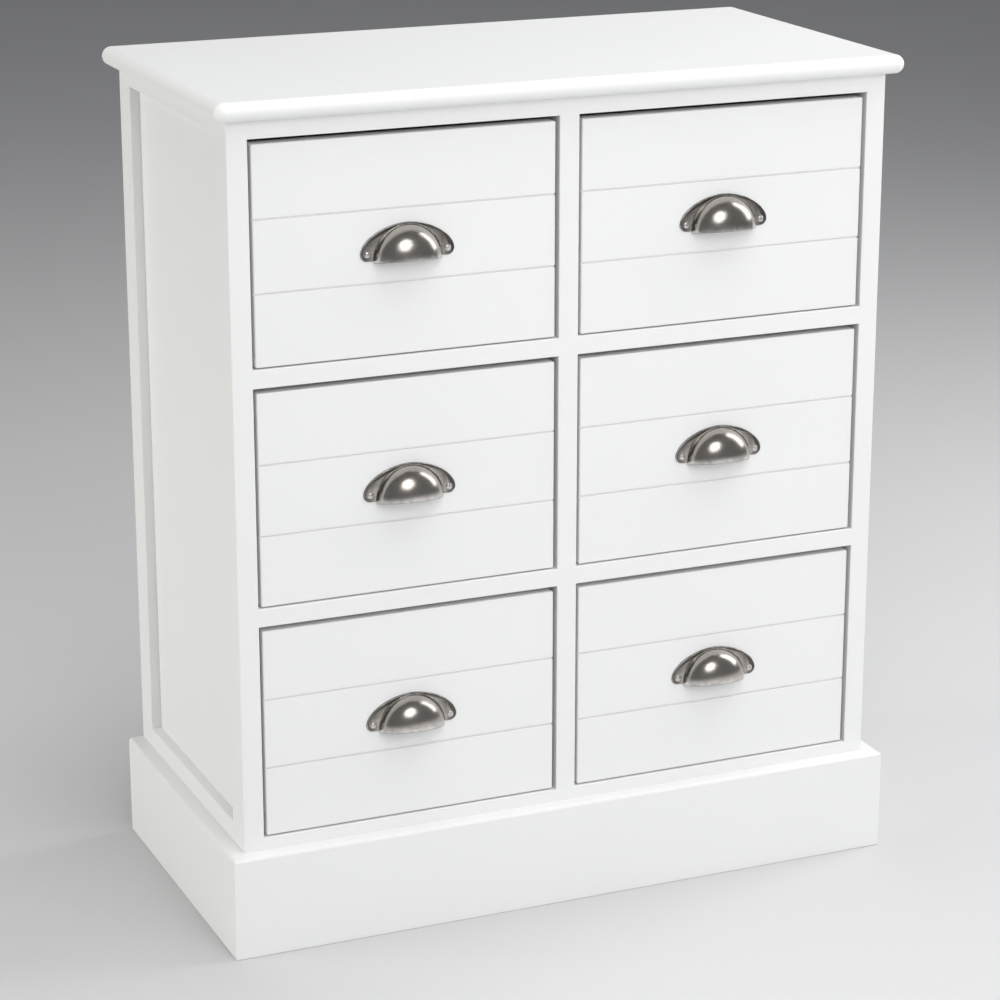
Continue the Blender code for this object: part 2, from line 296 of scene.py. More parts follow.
def drawn_out(
    name: str,
    section: Section,
    axis: Axis,
    span: Pair,
    eases: Pair = (0.0, 0.0),
    mirror: bool = False,
) -> Mesh:
    """Section drawn out along an axis.

    Args:
        name: the mesh's name.
        section: the section, in the two axes that follow the given one.
        axis: the direction that it runs in.
        span: where it starts and ends.
        eases: radius of the edges round its start and round its end; 0 leaves them square.
        mirror: turns the shape over in X.

    Returns:
        The mesh, shaded.
    """
    stations: list[Triple] = []
    for place, ease, inward in ((span[0], eases[0], 1), (span[1], eases[1], -1)):
        steps = range(EASE_STEPS + 1) if ease > 0 else [EASE_STEPS]
        turns = [math.pi / 2 * k / EASE_STEPS for k in steps]
        run = [
            (
                place + inward * ease * (1 - math.cos(t)),
                ease * (1 - math.sin(t)),
                math.sin(2 * t),
            )
            for t in turns
        ]
        stations += run if inward > 0 else list(reversed(run))
    order = [(axis.value + k) % 3 for k in range(3)]
    rings = []
    wears = []
    for place, inset, wear in stations:
        flat, edge = section.ring(inset)
        ring = np.empty((len(flat), 3))
        ring[:, order[0]] = place
        ring[:, order[1:]] = flat
        rings.append(ring)
        wears.append(np.maximum(edge, wear))
    return shaded(loft(name, rings, wears, mirror))


def board(
    name: str,
    axis: Axis,
    box: tuple[Vector, Vector],
    radii: Sequence[float],
    span: Pair | None = None,
    eases: Pair = (0.0, 0.0),
    notches: Sequence[Notch] = (),
    mirror: bool = False,
) -> Mesh:
    """Board that fills a packed box.

    Args:
        name: the mesh's name.
        axis: the direction that it runs in.
        box: the box's lowest and highest corners.
        radii: easing of its long edges, in the order of Section.box.
        span: where it starts and ends, if not at the box's own ends.
        eases: radius of the edges round its start and round its end.
        notches: the grooves cut in its faces.
        mirror: turns the shape over in X.

    Returns:
        The mesh, shaded.
    """
    run = axis.value
    low, high = ((place[(run + 1) % 3], place[(run + 2) % 3]) for place in box)
    ends = span or (box[0][run], box[1][run])
    return drawn_out(name, Section.box(low, high, radii, notches), axis, ends, eases, mirror)


def spun(name: str, profile: Sequence[Pair], sides: int) -> Mesh:
    """Profile of (radius, height) turned about Z, its ends closed."""
    turns = [math.tau * k / sides for k in range(sides)]
    rings = [
        np.array([(radius * math.cos(t), radius * math.sin(t), height) for t in turns])
        for radius, height in profile
    ]
    return loft(name, rings, [np.zeros(sides)] * len(rings))


def tube(name: str, path: np.ndarray, radius: float, sides: int) -> Mesh:
    """Round wire along a path in an upright plane facing the front, its ends closed; it is marked
    worn all over, which the nickel paints as a highlight.
    """
    forward = np.gradient(path, axis=0)
    forward /= np.linalg.norm(forward, axis=1, keepdims=True)
    depth = np.array([0.0, 1.0, 0.0])
    across = np.cross(forward, depth)
    turns = np.array([math.tau * k / sides for k in range(sides)])
    rings = [
        p + radius * (np.outer(np.cos(turns), a) + np.outer(np.sin(turns), depth))
        for p, a in zip(path, across)
    ]
    return loft(name, rings, [np.ones(sides)] * len(rings))


# ---------------------------------------------------------------- finishes


@dataclass
class NodeBench:
    """A node tree that is being wired."""

    tree: bpy.types.NodeTree

    def add(self, kind: str, **values: object) -> Node:
        """Add a node, then set its settings and set or link its sockets.

        Args:
            kind: the node's type.
            values: settings by their own names; sockets by name, capitalised and with _ for
                a space, or by place as i0, i1 and so on.

        Returns:
            The node.
        """
        node = self.tree.nodes.new(kind)
        sockets = {}
        for key, value in values.items():
            if key[0].isupper() or (key[0] == "i" and key[1:].isdigit()):
                sockets[key] = value
            else:
                setattr(node, key, value)
        for key, value in sockets.items():
            self.put(self.socket(node, key), value)
        return node

    def put(self, socket: Socket, value: object) -> None:
        """Link a socket to another one, or set it to a value."""
        if isinstance(value, Socket):
            self.tree.links.new(value, socket)
        else:
            socket.default_value = value

    @staticmethod
    def socket(node: Node, key: str) -> Socket:
        """Input of a node, by place or by name."""
        if key[0] == "i" and key[1:].isdigit():
            return node.inputs[int(key[1:])]
        wanted = key.replace("_", " ")
        return next(s for s in node.inputs if s.name == wanted and s.enabled)

    def math(self, operation: str, first: object, second: object = 0.0) -> Socket:
        """Result of a sum on two values or sockets."""
        node = self.add("ShaderNodeMath", operation=operation, i0=first, i1=second)
        return node.outputs[0]

    def ramp(self, value: object, low: float, high: float) -> Socket:
        """Smooth step of a value from 0 at low to 1 at high."""
        node = self.add(
            "ShaderNodeMapRange", interpolation_type="SMOOTHSTEP", Value=value, From_Min=low,
            From_Max=high,
        )
        return node.outputs["Result"]

    def span(self, value: object, low: float, high: float) -> Socket:
        """Value from 0 to 1 spread between low and high."""
        node = self.add("ShaderNodeMapRange", Value=value, To_Min=low, To_Max=high)
        return node.outputs["Result"]

    def noise(self, vector: object, scale: object, detail: float = 3.0) -> Socket:
        """Noise of a scale, from 0 to 1."""
        node = self.add("ShaderNodeTexNoise", Vector=vector, Scale=scale, Detail=detail)
        return node.outputs[0]

    def mix(self, share: object, first: object, second: object) -> Socket:
        """Colour between two colours."""
        node = self.add("ShaderNodeMix", data_type="RGBA", i0=share, i6=first, i7=second)
        return node.outputs[2]

    def scaled(self, vector: Socket, scale: Triple) -> Socket:
        """Vector stretched along its three axes."""
        return self.add("ShaderNodeMapping", Vector=vector, Scale=scale).outputs[0]


@dataclass(frozen=True)
class Effect:
    """A shader group with named sockets, built once and placed in each finish that uses it."""

    name: str
    inputs: tuple[tuple[str, str], ...]
    outputs: tuple[str, ...]
    wire: Callable[[NodeBench, Node], tuple[Socket, ...]]

    def tree(self) -> bpy.types.NodeTree:
        """The group's tree, built the first time that it is asked for."""
        made = bpy.data.node_groups.get(self.name)
        if made:
            return made
        made = bpy.data.node_groups.new(self.name, "ShaderNodeTree")
        for name, kind in self.inputs:
            made.interface.new_socket(name, in_out="INPUT", socket_type=kind)
        for name in self.outputs:
            made.interface.new_socket(name, in_out="OUTPUT", socket_type="NodeSocketFloat")
        bench = NodeBench(made)
        start = bench.add("NodeGroupInput")
        end = bench.add("NodeGroupOutput")
        for name, result in zip(self.outputs, self.wire(bench, start)):
            made.links.new(result, end.inputs[name])
        return made

    def place(self, bench: NodeBench, **values: object) -> Node:
        """Add the group to a material, with the material's own values."""
        return bench.add("ShaderNodeGroup", node_tree=self.tree(), **values)


def wire_mottle(bench: NodeBench, start: Node) -> tuple[Socket, ...]:
    """Broad clouds, fine clouds and specks of one surface."""
    spot = start.outputs["Vector"]
    broad = bench.noise(spot, start.outputs["Broad"], 2.0)
    fine = bench.noise(spot, start.outputs["Fine"], 4.0)
    specks = bench.add("ShaderNodeTexVoronoi", Vector=spot, Scale=start.outputs["Specks"])
    dots = bench.ramp(specks.outputs["Distance"], 0.28, 0.12)
    return broad, fine, dots


def wire_edges(bench: NodeBench, start: Node) -> tuple[Socket, ...]:
    """Where an eased edge is rubbed, broken up along its length."""
    worn = bench.add("ShaderNodeAttribute", attribute_name="wear").outputs["Fac"]
    broken = bench.noise(start.outputs["Vector"], start.outputs["Break"], 3.0)
    ragged = bench.ramp(broken, 0.35, 0.65)
    return (bench.math("MULTIPLY", bench.ramp(worn, 0.1, 0.9), bench.span(ragged, 0.35, 1.0)),)


def wire_grain(bench: NodeBench, start: Node) -> tuple[Socket, ...]:
    """Growth rings, fibres and pores of wood that runs along X."""
    spot = start.outputs["Vector"]
    sway = bench.noise(bench.scaled(spot, (2.0, 9.0, 9.0)), 1.0, 2.0)
    push = bench.add(
        "ShaderNodeCombineXYZ", X=0.0, Y=bench.span(sway, -4.0, 4.0), Z=bench.span(sway, 3.0, -3.0)
    )
    pushed = bench.add(
        "ShaderNodeVectorMath", operation="ADD", i0=bench.scaled(spot, (1.2, 60.0, 60.0)),
        i1=push.outputs[0],
    )
    rings = bench.ramp(bench.noise(pushed.outputs[0], 1.0, 3.0), 0.35, 0.68)
    fibre = bench.noise(bench.scaled(spot, (14.0, 700.0, 700.0)), 1.0, 3.0)
    dashes = bench.noise(bench.scaled(spot, (45.0, 1100.0, 1100.0)), 1.0, 1.0)
    return rings, fibre, bench.ramp(dashes, 0.64, 0.74)


VECTOR = ("Vector", "NodeSocketVector")
MOTTLE = Effect(
    "mottle",
    (VECTOR,) + tuple((name, "NodeSocketFloat") for name in ("Broad", "Fine", "Specks")),
    ("Clouds", "Grit", "Dots"),
    wire_mottle,
)
EDGES = Effect("rubbed_edges", (VECTOR, ("Break", "NodeSocketFloat")), ("Mask",), wire_edges)
GRAIN = Effect("wood_grain", (VECTOR,), ("Rings", "Fibre", "Pores"), wire_grain)

Colour = tuple[float, float, float, float]


@dataclass(frozen=True)
class Finish:
    """What a surface is made of; each finish makes its material once.

    Its scales are those of its broad clouds, its fine clouds and its specks; breaks is that of
    the gaps along its rubbed edges, and depth is how high its relief stands, in metres.
    """

    name: str
    scales: Triple = (1.0, 1.0, 1.0)
    breaks: float = 1.0
    roughness: Pair = (0.5, 0.5)
    depth: float = 0.0

    def material(self) -> bpy.types.Material:
        """The finish's material, made the first time that it is asked for."""
        made = bpy.data.materials.get(self.name)
        if made is None:
            made = bpy.data.materials.new(self.name)
            made.use_nodes = True
            bench = NodeBench(made.node_tree)
            shader = made.node_tree.nodes["Principled BSDF"]
            spot = bench.add("ShaderNodeTexCoord").outputs["Object"]
            self.wire(bench, shader, spot)
        return made

    def wire(self, bench: NodeBench, shader: Node, spot: Socket) -> None:
        """Wire the finish's own nodes into the shader."""
        raise NotImplementedError

    def mottle(self, bench: NodeBench, spot: Socket) -> tuple[Socket, ...]:
        """Clouds, grit and dots at the finish's own scales."""
        broad, fine, specks = self.scales
        node = MOTTLE.place(bench, Vector=spot, Broad=broad, Fine=fine, Specks=specks)
        return tuple(node.outputs)

    def rub(self, bench: NodeBench, spot: Socket) -> Socket:
        """Mask of the edges that are rubbed."""
        return EDGES.place(bench, Vector=spot, Break=self.breaks).outputs["Mask"]

    def coat(
        self, bench: NodeBench, shader: Node, colour: Socket, rough: Socket, height: Socket
    ) -> None:
        """Give the shader its colour, its roughness and its relief, a height from 0 to 1."""
        relief = bench.add("ShaderNodeBump", Strength=1.0, Distance=self.depth, Height=height)
        for name, value in (
            ("Base Color", colour), ("Roughness", rough), ("Normal", relief.outputs[0])
        ):
            bench.put(shader.inputs[name], value)


@dataclass(frozen=True)
class Lacquer(Finish):
    """Satin white paint, sprayed: fine orange peel, faint clouds, thinner on the arrises."""

    scales: Triple = (5.0, 420.0, 900.0)
    breaks: float = 60.0
    roughness: Pair = (0.32, 0.42)
    depth: float = 0.00003
    colour: Colour = (0.845, 0.845, 0.84, 1.0)
    shade: Colour = (0.815, 0.818, 0.815, 1.0)
    arris: Colour = (0.76, 0.755, 0.74, 1.0)
    arris_share: float = 0.35
    arris_polish: float = 0.06

    def wire(self, bench: NodeBench, shader: Node, spot: Socket) -> None:
        """Paint, its clouds, its thin arrises and its orange peel."""
        clouds, grit, _ = self.mottle(bench, spot)
        mask = self.rub(bench, spot)
        body = bench.mix(clouds, self.colour, self.shade)
        colour = bench.mix(bench.math("MULTIPLY", mask, self.arris_share), body, self.arris)
        sheen = bench.span(clouds, *self.roughness)
        rough = bench.math("SUBTRACT", sheen, bench.math("MULTIPLY", mask, self.arris_polish))
        shader.inputs["IOR"].default_value = 1.5
        self.coat(bench, shader, colour, rough, grit)


@dataclass(frozen=True)
class SatinNickel(Finish):
    """Plated steel, brushed along X, warm grey; its flat flange grained, rougher and painted near
    black, a painted dark reflection, and a painted highlight along its bead, lip and edges.
    """

    scales: Triple = (70.0, 900.0, 1500.0)
    breaks: float = 180.0
    roughness: Pair = (0.17, 0.28)
    depth: float = 0.000006
    brush: Triple = (90.0, 2600.0, 2600.0)
    colour: Colour = (0.52, 0.485, 0.45, 1.0)
    line: Colour = (0.31, 0.28, 0.25, 1.0)
    line_share: float = 0.6
    # near-black colour painted on the flange, a painted dark reflection
    flange_painted_shade: Colour = (0.05, 0.046, 0.042, 1.0)
    flange_shade_least: float = 0.65
    dull_roughness: float = 0.12
    dull_grain: float = 3.0
    # brighter colour painted along the bead, the lip and the eased edges, a painted highlight
    rubbed: Colour = (0.86, 0.845, 0.82, 1.0)
    edge_highlight_share: float = 0.8
    cloudiness: float = 0.03

    def wire(self, bench: NodeBench, shader: Node, spot: Socket) -> None:
        """Plating, its brush lines, its grained, rougher flange with a painted dark reflection, and
        a painted highlight along its bead, lip and eased edges.
        """
        lines = bench.noise(bench.scaled(spot, self.brush), 1.0, 3.0)
        clouds, grit, _ = self.mottle(bench, spot)
        mask = self.rub(bench, spot)
        # the dull attribute marks the flange: rougher and grained, and painted near black, a
        # painted dark reflection
        dull = bench.add("ShaderNodeAttribute", attribute_name="dull").outputs["Fac"]
        share = bench.math("MULTIPLY", bench.ramp(lines, 0.3, 0.75), self.line_share)
        body = bench.mix(share, self.colour, self.line)
        # painted dark reflection: the flange's colour taken towards near black; its grain and
        # roughness are its own
        grey = bench.math("MULTIPLY", dull, bench.span(grit, self.flange_shade_least, 1.0))
        plate = bench.mix(grey, body, self.flange_painted_shade)
        # painted highlight: brighter colour along the bead, the lip and the eased edges
        colour = bench.mix(bench.math("MULTIPLY", mask, self.edge_highlight_share), plate, self.rubbed)
        clouded = bench.math(
            "ADD", bench.span(lines, *self.roughness),
            bench.span(clouds, -self.cloudiness, self.cloudiness),
        )
        rough = bench.math("ADD", clouded, bench.math("MULTIPLY", dull, self.dull_roughness))
        shader.inputs["Metallic"].default_value = 1.0
        grain = bench.math("MULTIPLY", dull, bench.math("MULTIPLY", grit, self.dull_grain))
        self.coat(bench, shader, colour, rough, bench.math("ADD", lines, grain))


@dataclass(frozen=True)
class ScrewSteel(Finish):
    """Bright zinc plate with fine grit, dull in patches."""

    scales: Triple = (400.0, 1800.0, 2500.0)
    roughness: Pair = (0.22, 0.4)
    depth: float = 0.00001
    colour: Colour = (0.84, 0.83, 0.82, 1.0)
    dull: Colour = (0.5, 0.49, 0.48, 1.0)

    def wire(self, bench: NodeBench, shader: Node, spot: Socket) -> None:
        """Plating, its grit and its dull clouds."""
        clouds, grit, _ = self.mottle(bench, spot)
        colour = bench.mix(bench.ramp(clouds, 0.45, 0.75), self.colour, self.dull)
        shader.inputs["Metallic"].default_value = 1.0
        self.coat(bench, shader, colour, bench.span(grit, *self.roughness), grit)


@dataclass(frozen=True)
class BareWood(Finish):
    """Planed pale wood: growth rings, fibres and pores along the board's own run."""

    breaks: float = 90.0
    roughness: Pair = (0.62, 0.5)
    depth: float = 0.00006
    run: Axis = Axis.X
    early: Colour = (0.69, 0.53, 0.36, 1.0)
    late: Colour = (0.50, 0.34, 0.2, 1.0)
    late_share: float = 0.55
    fibre_share: float = 0.35
    pore: Colour = (0.27, 0.17, 0.09, 1.0)
    pore_share: float = 0.45
    end_colour: Colour = (0.46, 0.32, 0.19, 1.0)
    end_share: float = 0.5

    def wire(self, bench: NodeBench, shader: Node, spot: Socket) -> None:
        """Wood turned to its run, with rubbed corners."""
        turn = {Axis.X: (0.0, 0.0, 0.0), Axis.Y: (0.0, 0.0, math.pi / 2),
                Axis.Z: (0.0, math.pi / 2, 0.0)}[self.run]
        laid = bench.add("ShaderNodeMapping", Vector=spot, Rotation=turn).outputs[0]
        rings, fibre, pores = GRAIN.place(bench, Vector=laid).outputs
        body = bench.mix(bench.math("MULTIPLY", rings, self.late_share), self.early, self.late)
        lined = bench.mix(bench.span(fibre, 0.0, self.fibre_share), body, self.late)
        pored = bench.mix(bench.math("MULTIPLY", pores, self.pore_share), lined, self.pore)
        ends = bench.math("MULTIPLY", self.rub(bench, spot), self.end_share)
        colour = bench.mix(ends, pored, self.end_colour)
        height = bench.math("SUBTRACT", fibre, pores)
        self.coat(bench, shader, colour, bench.span(rings, *self.roughness), height)


@dataclass(frozen=True)
class Hardboard(Finish):
    """Brown pressed board: short felted fibres, darker specks and a smooth skin."""

    scales: Triple = (9.0, 520.0, 340.0)
    breaks: float = 70.0
    roughness: Pair = (0.45, 0.72)
    depth: float = 0.00005
    felt: Triple = (260.0, 260.0, 900.0)
    colour: Colour = (0.36, 0.22, 0.12, 1.0)
    dark: Colour = (0.21, 0.12, 0.065, 1.0)
    dot_share: float = 0.3
    light: Colour = (0.48, 0.32, 0.19, 1.0)
    cloud_share: float = 0.35
    edge_share: float = 0.6

    def wire(self, bench: NodeBench, shader: Node, spot: Socket) -> None:
        """Skin, fibres and specks."""
        clouds, grit, dots = self.mottle(bench, spot)
        fibres = bench.noise(bench.scaled(spot, self.felt), 1.0, 4.0)
        body = bench.mix(bench.ramp(fibres, 0.3, 0.7), self.colour, self.dark)
        clouded = bench.mix(bench.span(clouds, 0.0, self.cloud_share), body, self.light)
        dotted = bench.mix(bench.math("MULTIPLY", dots, self.dot_share), clouded, self.dark)
        edges = bench.math("MULTIPLY", self.rub(bench, spot), self.edge_share)
        colour = bench.mix(edges, dotted, self.light)
        self.coat(bench, shader, colour, bench.span(fibres, *self.roughness), grit)


@dataclass(frozen=True)
class FloorPaper(Finish):
    """Pale seamless paper that the chest stands on."""

    scales: Triple = (1.5, 300.0, 600.0)
    roughness: Pair = (0.75, 0.85)
    depth: float = 0.00002
    colour: Colour = (0.6, 0.6, 0.605, 1.0)
    shade: Colour = (0.58, 0.58, 0.585, 1.0)

    def wire(self, bench: NodeBench, shader: Node, spot: Socket) -> None:
        """Paper and its faint tooth."""
        clouds, grit, _ = self.mottle(bench, spot)
        colour = bench.mix(clouds, self.colour, self.shade)
        self.coat(bench, shader, colour, bench.span(grit, *self.roughness), grit)


class Slot(Enum):
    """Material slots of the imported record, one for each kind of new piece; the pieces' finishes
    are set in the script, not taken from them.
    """

    LACQUER = "white_lacquer"
    WOOD = "drawer_wood"
    PLY = "drawer_ply"
    HARDBOARD = "hardboard"
    NICKEL = "satin_nickel"


LACQUER = Lacquer("satin_white_lacquer")
NICKEL = SatinNickel("brushed_nickel")
STEEL = ScrewSteel("zinc_screw")
HARDBOARD = Hardboard("brown_hardboard")
WOOD_X = BareWood("pale_wood_across", run=Axis.X)
WOOD_Y = BareWood("pale_wood_deep", run=Axis.Y)
PLY = BareWood(
    "birch_ply", run=Axis.X, early=(0.74, 0.6, 0.43, 1.0), late=(0.6, 0.45, 0.29, 1.0)
)
PAPER = FloorPaper("floor_paper")


def placed(
    name: str,
    mesh: Mesh,
    finish: Finish,
    body: str,
    nodes: Sequence[str] = (),
) -> bpy.types.Object:
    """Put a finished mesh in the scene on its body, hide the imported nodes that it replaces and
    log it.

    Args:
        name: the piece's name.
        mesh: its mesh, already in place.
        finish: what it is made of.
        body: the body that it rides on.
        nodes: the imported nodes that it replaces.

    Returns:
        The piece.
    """
    mesh.name = name
    mesh.materials.clear()
    mesh.materials.append(finish.material())
    piece = bpy.data.objects.new(name, mesh)
    bpy.context.scene.collection.objects.link(piece)
    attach(piece, body)
    if nodes:
        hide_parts(*nodes)
    LOG.info("%s: %d faces, %s, on %s", name, len(mesh.polygons), finish.name, body)
    return piece


def painted(node: str, mesh: Mesh) -> None:
    """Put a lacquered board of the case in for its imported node."""
    placed(f"{node}_finished", mesh, LACQUER, CASE, [node])


def moved(mesh: Mesh, offset: Vector) -> Mesh:
    """Copy of a mesh, moved."""
    copy = mesh.copy()
    copy.transform(Matrix.Translation(offset))
    return copy


# ---------------------------------------------------------------- repeated pieces


@dataclass(frozen=True)
class Recipe:
    """A Geometry Nodes tree whose sizes are its named inputs."""

    name: str
    inputs: tuple[tuple[str, str], ...]
    wire: Callable[[NodeBench, Node], Socket]

    def tree(self) -> bpy.types.NodeTree:
        """The recipe's tree, built the first time that it is asked for."""
        made = bpy.data.node_groups.get(self.name)
        if made:
            return made
        made = bpy.data.node_groups.new(self.name, "GeometryNodeTree")
        made.interface.new_socket("Path", in_out="INPUT", socket_type="NodeSocketGeometry")
        for name, kind in self.inputs:
            made.interface.new_socket(name, in_out="INPUT", socket_type=kind)
        made.interface.new_socket("Pieces", in_out="OUTPUT", socket_type="NodeSocketGeometry")
        bench = NodeBench(made)
        start = bench.add("NodeGroupInput")
        pieces = self.wire(bench, start)
        real = bench.add("GeometryNodeRealizeInstances", Geometry=pieces)
        coated = bench.add(
            "GeometryNodeSetMaterial", Geometry=real.outputs[0], Material=start.outputs["Finish"]
        )
        made.links.new(coated.outputs[0], bench.add("NodeGroupOutput").inputs["Pieces"])
        return made

    def grow(
        self, name: str, rows: Sequence[tuple[Vector, Vector, Vector]], **values: object
    ) -> Mesh:
        """Set the pieces out along rows and turn them into a plain mesh.

        Args:
            name: the mesh's name.
            rows: each row's first and last place, and the way that its pieces face.
            values: the tree's inputs, with _ for a space.

        Returns:
            The mesh.
        """
        path = bmesh.new()
        facing = path.verts.layers.float_vector.new("facing")
        for first, last, outwards in rows:
            ends = [path.verts.new(first), path.verts.new(last)]
            for end in ends:
                end[facing] = outwards
            path.edges.new(ends)
        mesh = bpy.data.meshes.new(name)
        path.to_mesh(mesh)
        path.free()
        holder = bpy.data.objects.new(name, mesh)
        modifier = holder.modifiers.new(self.name, "NODES")
        modifier.node_group = self.tree()
        sockets = {
            item.name: item.identifier
            for item in modifier.node_group.interface.items_tree
            if item.in_out == "INPUT"
        }
        for key, value in values.items():
            modifier[sockets[key.replace("_", " ")]] = value
        return applied(holder)


SCREW_SIDES = 32
PIN_SIDES = 12
CREASE = math.radians(40)       # edges of a screw steeper than this stay sharp


def rounded_head(bench: NodeBench, start: Node, sides: int) -> Socket:
    """Low dome about Z, as wide and as high as the tree's inputs say."""
    ball = bench.add("GeometryNodeMeshUVSphere", Segments=sides, Rings=sides // 2, Radius=1.0)
    radius = start.outputs["Head radius"]
    size = bench.add("ShaderNodeCombineXYZ", X=radius, Y=radius, Z=start.outputs["Head height"])
    return bench.add(
        "GeometryNodeTransform", Geometry=ball.outputs["Mesh"], Scale=size.outputs[0]
    ).outputs[0]


def set_out(bench: NodeBench, start: Node, points: Socket, head: Socket) -> Socket:
    """Heads on points, each facing its row's way and turned by chance."""
    facing = bench.add("GeometryNodeInputNamedAttribute", data_type="FLOAT_VECTOR", Name="facing")
    aligned = bench.add(
        "FunctionNodeAlignRotationToVector", axis="Z", Vector=facing.outputs["Attribute"]
    )
    heads = bench.add(
        "GeometryNodeInstanceOnPoints", Points=points, Instance=head,
        Rotation=aligned.outputs[0],
    )
    chance = bench.add(
        "FunctionNodeRandomValue", data_type="FLOAT", i2=0.0, i3=math.tau,
        Seed=start.outputs["Seed"],
    )
    turn = bench.add("ShaderNodeCombineXYZ", Z=chance.outputs[1])
    return bench.add(
        "GeometryNodeRotateInstances", Instances=heads.outputs[0], Rotation=turn.outputs[0]
    ).outputs[0]


def wire_screws(bench: NodeBench, start: Node) -> Socket:
    """Cross-head screws on the ends of each row."""
    dome = rounded_head(bench, start, SCREW_SIDES)
    top = start.outputs["Head height"]
    sink = bench.add("ShaderNodeCombineXYZ", Z=top)
    deep = bench.math("MULTIPLY", start.outputs["Recess depth"], 2.0)
    cross = bench.add("GeometryNodeMeshBoolean", operation="DIFFERENCE", solver="EXACT")
    bench.tree.links.new(dome, cross.inputs["Mesh 1"])
    long, narrow = start.outputs["Recess length"], start.outputs["Recess width"]
    for across, along in ((long, narrow), (narrow, long)):
        size = bench.add("ShaderNodeCombineXYZ", X=across, Y=along, Z=deep)
        block = bench.add("GeometryNodeMeshCube", Size=size.outputs[0])
        set_down = bench.add(
            "GeometryNodeTransform", Geometry=block.outputs["Mesh"],
            Translation=sink.outputs[0],
        )
        bench.tree.links.new(set_down.outputs[0], cross.inputs["Mesh 2"])
    smooth = bench.add("GeometryNodeSetShadeSmooth", Geometry=cross.outputs["Mesh"])
    steep = bench.add(
        "FunctionNodeCompare", data_type="FLOAT", operation="GREATER_THAN",
        i0=bench.add("GeometryNodeInputMeshEdgeAngle").outputs["Unsigned Angle"],
        i1=CREASE,
    )
    crisp = bench.add(
        "GeometryNodeSetShadeSmooth", domain="EDGE", Geometry=smooth.outputs[0],
        Selection=steep.outputs[0], Shade_Smooth=False,
    )
    return set_out(bench, start, start.outputs["Path"], crisp.outputs[0])


def wire_pins(bench: NodeBench, start: Node) -> Socket:
    """Pin heads at even steps along each row."""
    dome = rounded_head(bench, start, PIN_SIDES)
    rows = bench.add("GeometryNodeMeshToCurve", Mesh=start.outputs["Path"])
    stepped = bench.add(
        "GeometryNodeResampleCurve", mode="LENGTH", Curve=rows.outputs[0],
        Length=start.outputs["Spacing"],
    )
    smooth = bench.add("GeometryNodeSetShadeSmooth", Geometry=dome)
    points = bench.add("GeometryNodeCurveToPoints", mode="EVALUATED", Curve=stepped.outputs[0])
    return set_out(bench, start, points.outputs[0], smooth.outputs[0])


LENGTH = "NodeSocketFloat"
HEAD = (("Head radius", LENGTH), ("Head height", LENGTH), ("Seed", "NodeSocketInt"),
        ("Finish", "NodeSocketMaterial"))
SCREWS = Recipe(
    "cross_head_screws",
    HEAD + (("Recess length", LENGTH), ("Recess width", LENGTH), ("Recess depth", LENGTH)),
    wire_screws,
)
PINS = Recipe("pin_heads", HEAD + (("Spacing", LENGTH),), wire_pins)


# ---------------------------------------------------------------- case


@dataclass
class TopBoard:
    """Top board, half-round on its front and both ends, flat behind."""

    nose_steps: int = 20
    corner_steps: int = 12
    corner_spare: float = 0.0004

    def mesh(self) -> Mesh:
        """The board, resting on the case."""
        low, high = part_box("top_board")
        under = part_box("left_front_stile")[1].z
        nose = (high.z - under) / 2
        middle = (high.z + under) / 2
        corner = nose + self.corner_spare
        rings = []
        for k in range(self.nose_steps + 1):
            angle = math.pi * (k / self.nose_steps - 0.5)
            inset = nose * (1 - math.cos(angle))
            height = middle + nose * math.sin(angle)
            rings.append(self.plan(low, high, corner, inset, height))
        return shaded(loft("top_board", rings, [np.zeros(len(rings[0]))] * len(rings)))

    def plan(
        self, low: Vector, high: Vector, corner: float, inset: float, height: float
    ) -> np.ndarray:
        """Outline of the board seen from above, drawn in on all but its back."""
        points = [(low.x + inset, high.y)]
        for centre, start in ((low.x + corner, math.pi), (high.x - corner, 1.5 * math.pi)):
            for k in range(self.corner_steps + 1):
                angle = start + math.pi / 2 * k / self.corner_steps
                points.append(
                    (
                        centre + (corner - inset) * math.cos(angle),
                        low.y + corner + (corner - inset) * math.sin(angle),
                    )
                )
        points.append((high.x - inset, high.y))
        return np.array([(x, y, height) for x, y in points])

    def build(self) -> None:
        """Make the board."""
        painted("top_board", self.mesh())


